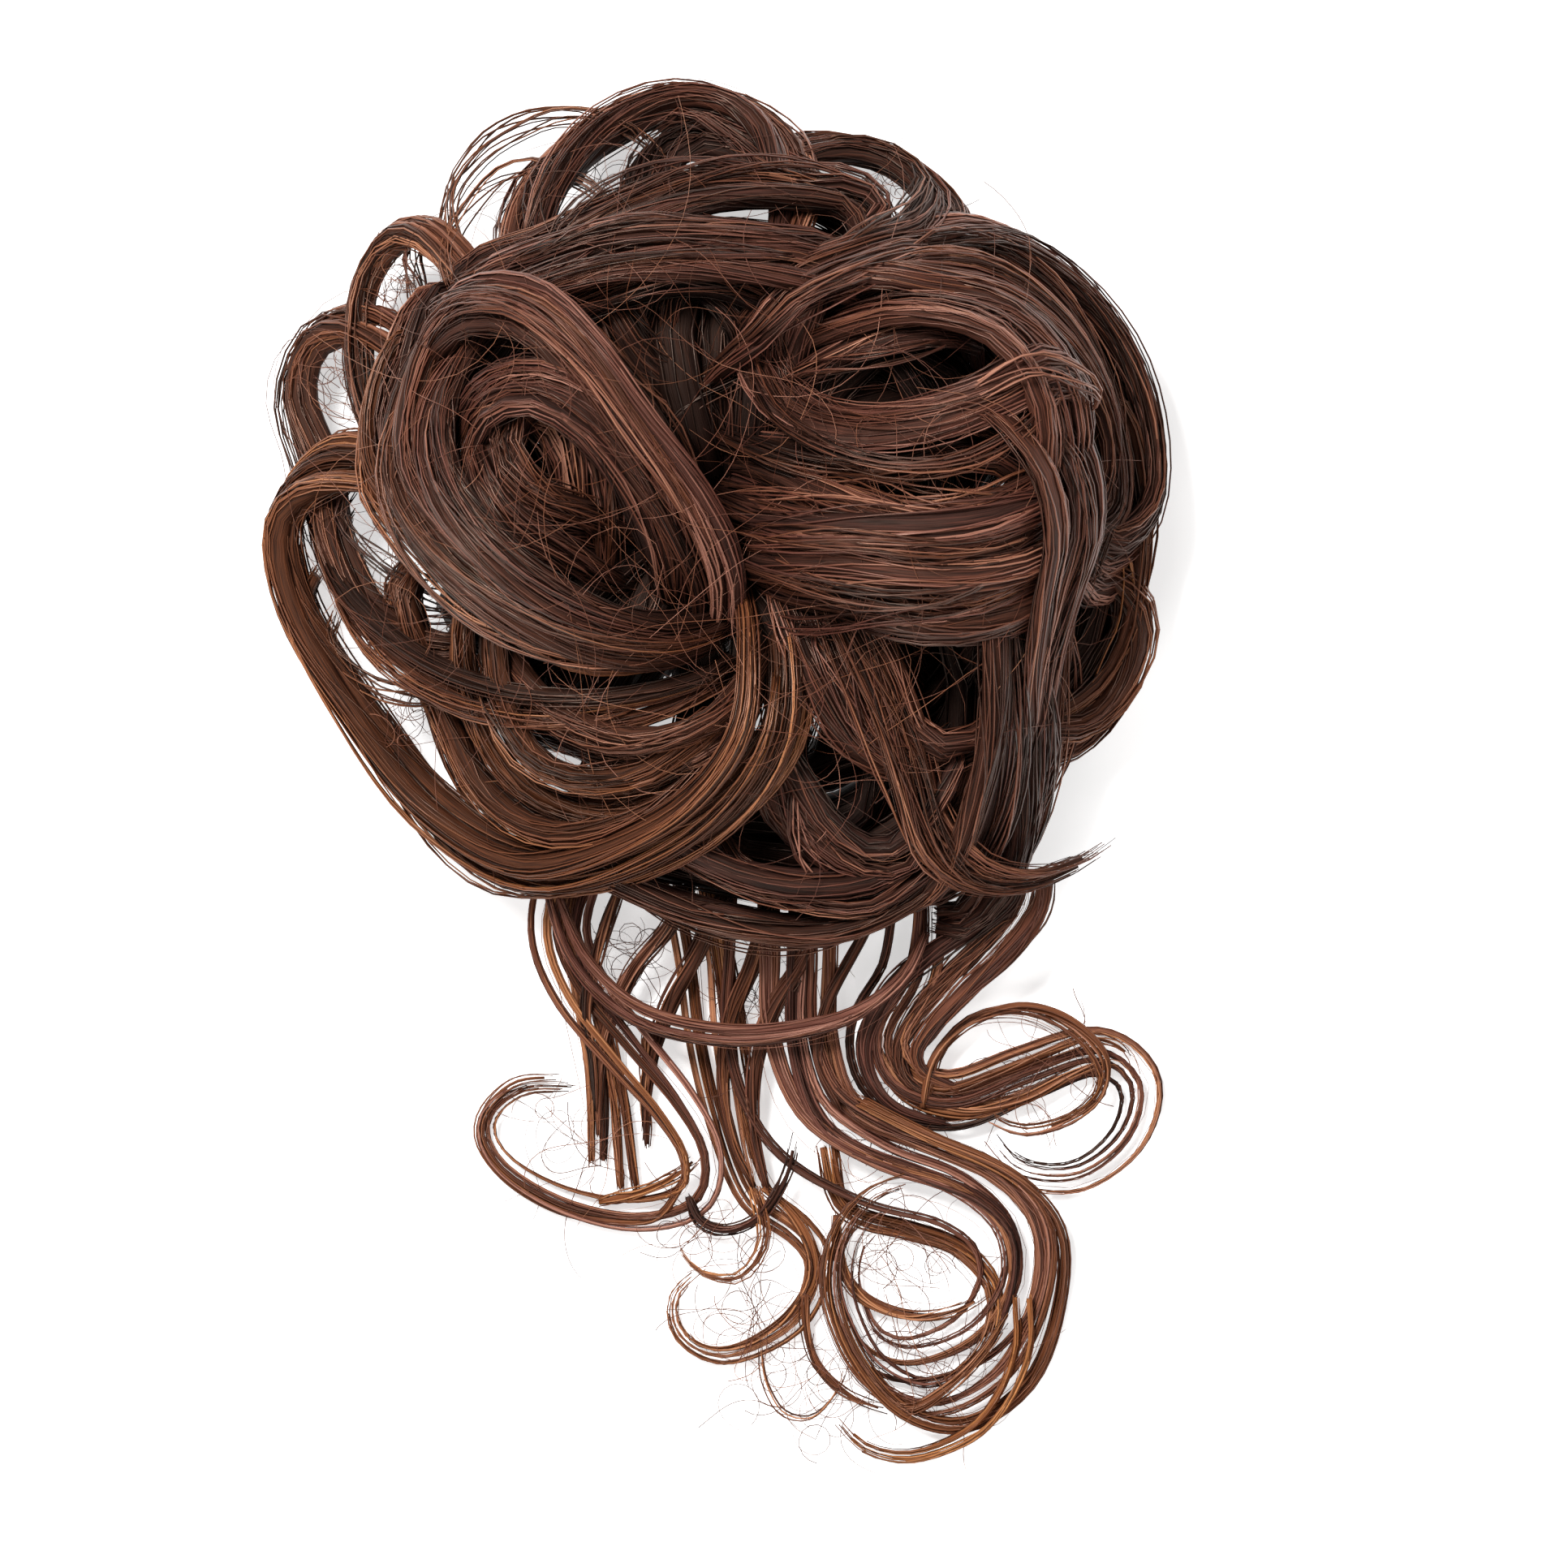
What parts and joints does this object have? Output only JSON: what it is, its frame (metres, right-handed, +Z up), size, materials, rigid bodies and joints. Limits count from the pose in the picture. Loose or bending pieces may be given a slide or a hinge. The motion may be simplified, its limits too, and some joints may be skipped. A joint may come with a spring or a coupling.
{
  "type": "top knot hairpiece",
  "caption": "Messy-bun top knot hairpiece: looped locks on an elastic band, with loose curls falling from its lower edge.",
  "frame": {"origin": "middle of the underside of the box, on the surface that the hairpiece lies on", "axes": "+Y from the loose curls towards the top of the bun, +Z up, away from the elastic band's underside"},
  "size_m": [0.1476, 0.2278, 0.0586],
  "materials": {
    "hair_fibre": "heat-set chestnut synthetic hair fibre with a soft sheen",
    "covered_elastic": "matte braided textile cover"
  },
  "bodies": {
    "root": {"elastic_band": "covered_elastic", "bun_loops": "hair_fibre", "neck_wrap": "hair_fibre", "tail_left_curl": "hair_fibre", "tail_centre_curl": "hair_fibre", "tail_lower_curl": "hair_fibre", "tail_right_curl": "hair_fibre"}
  },
  "joints": []
}
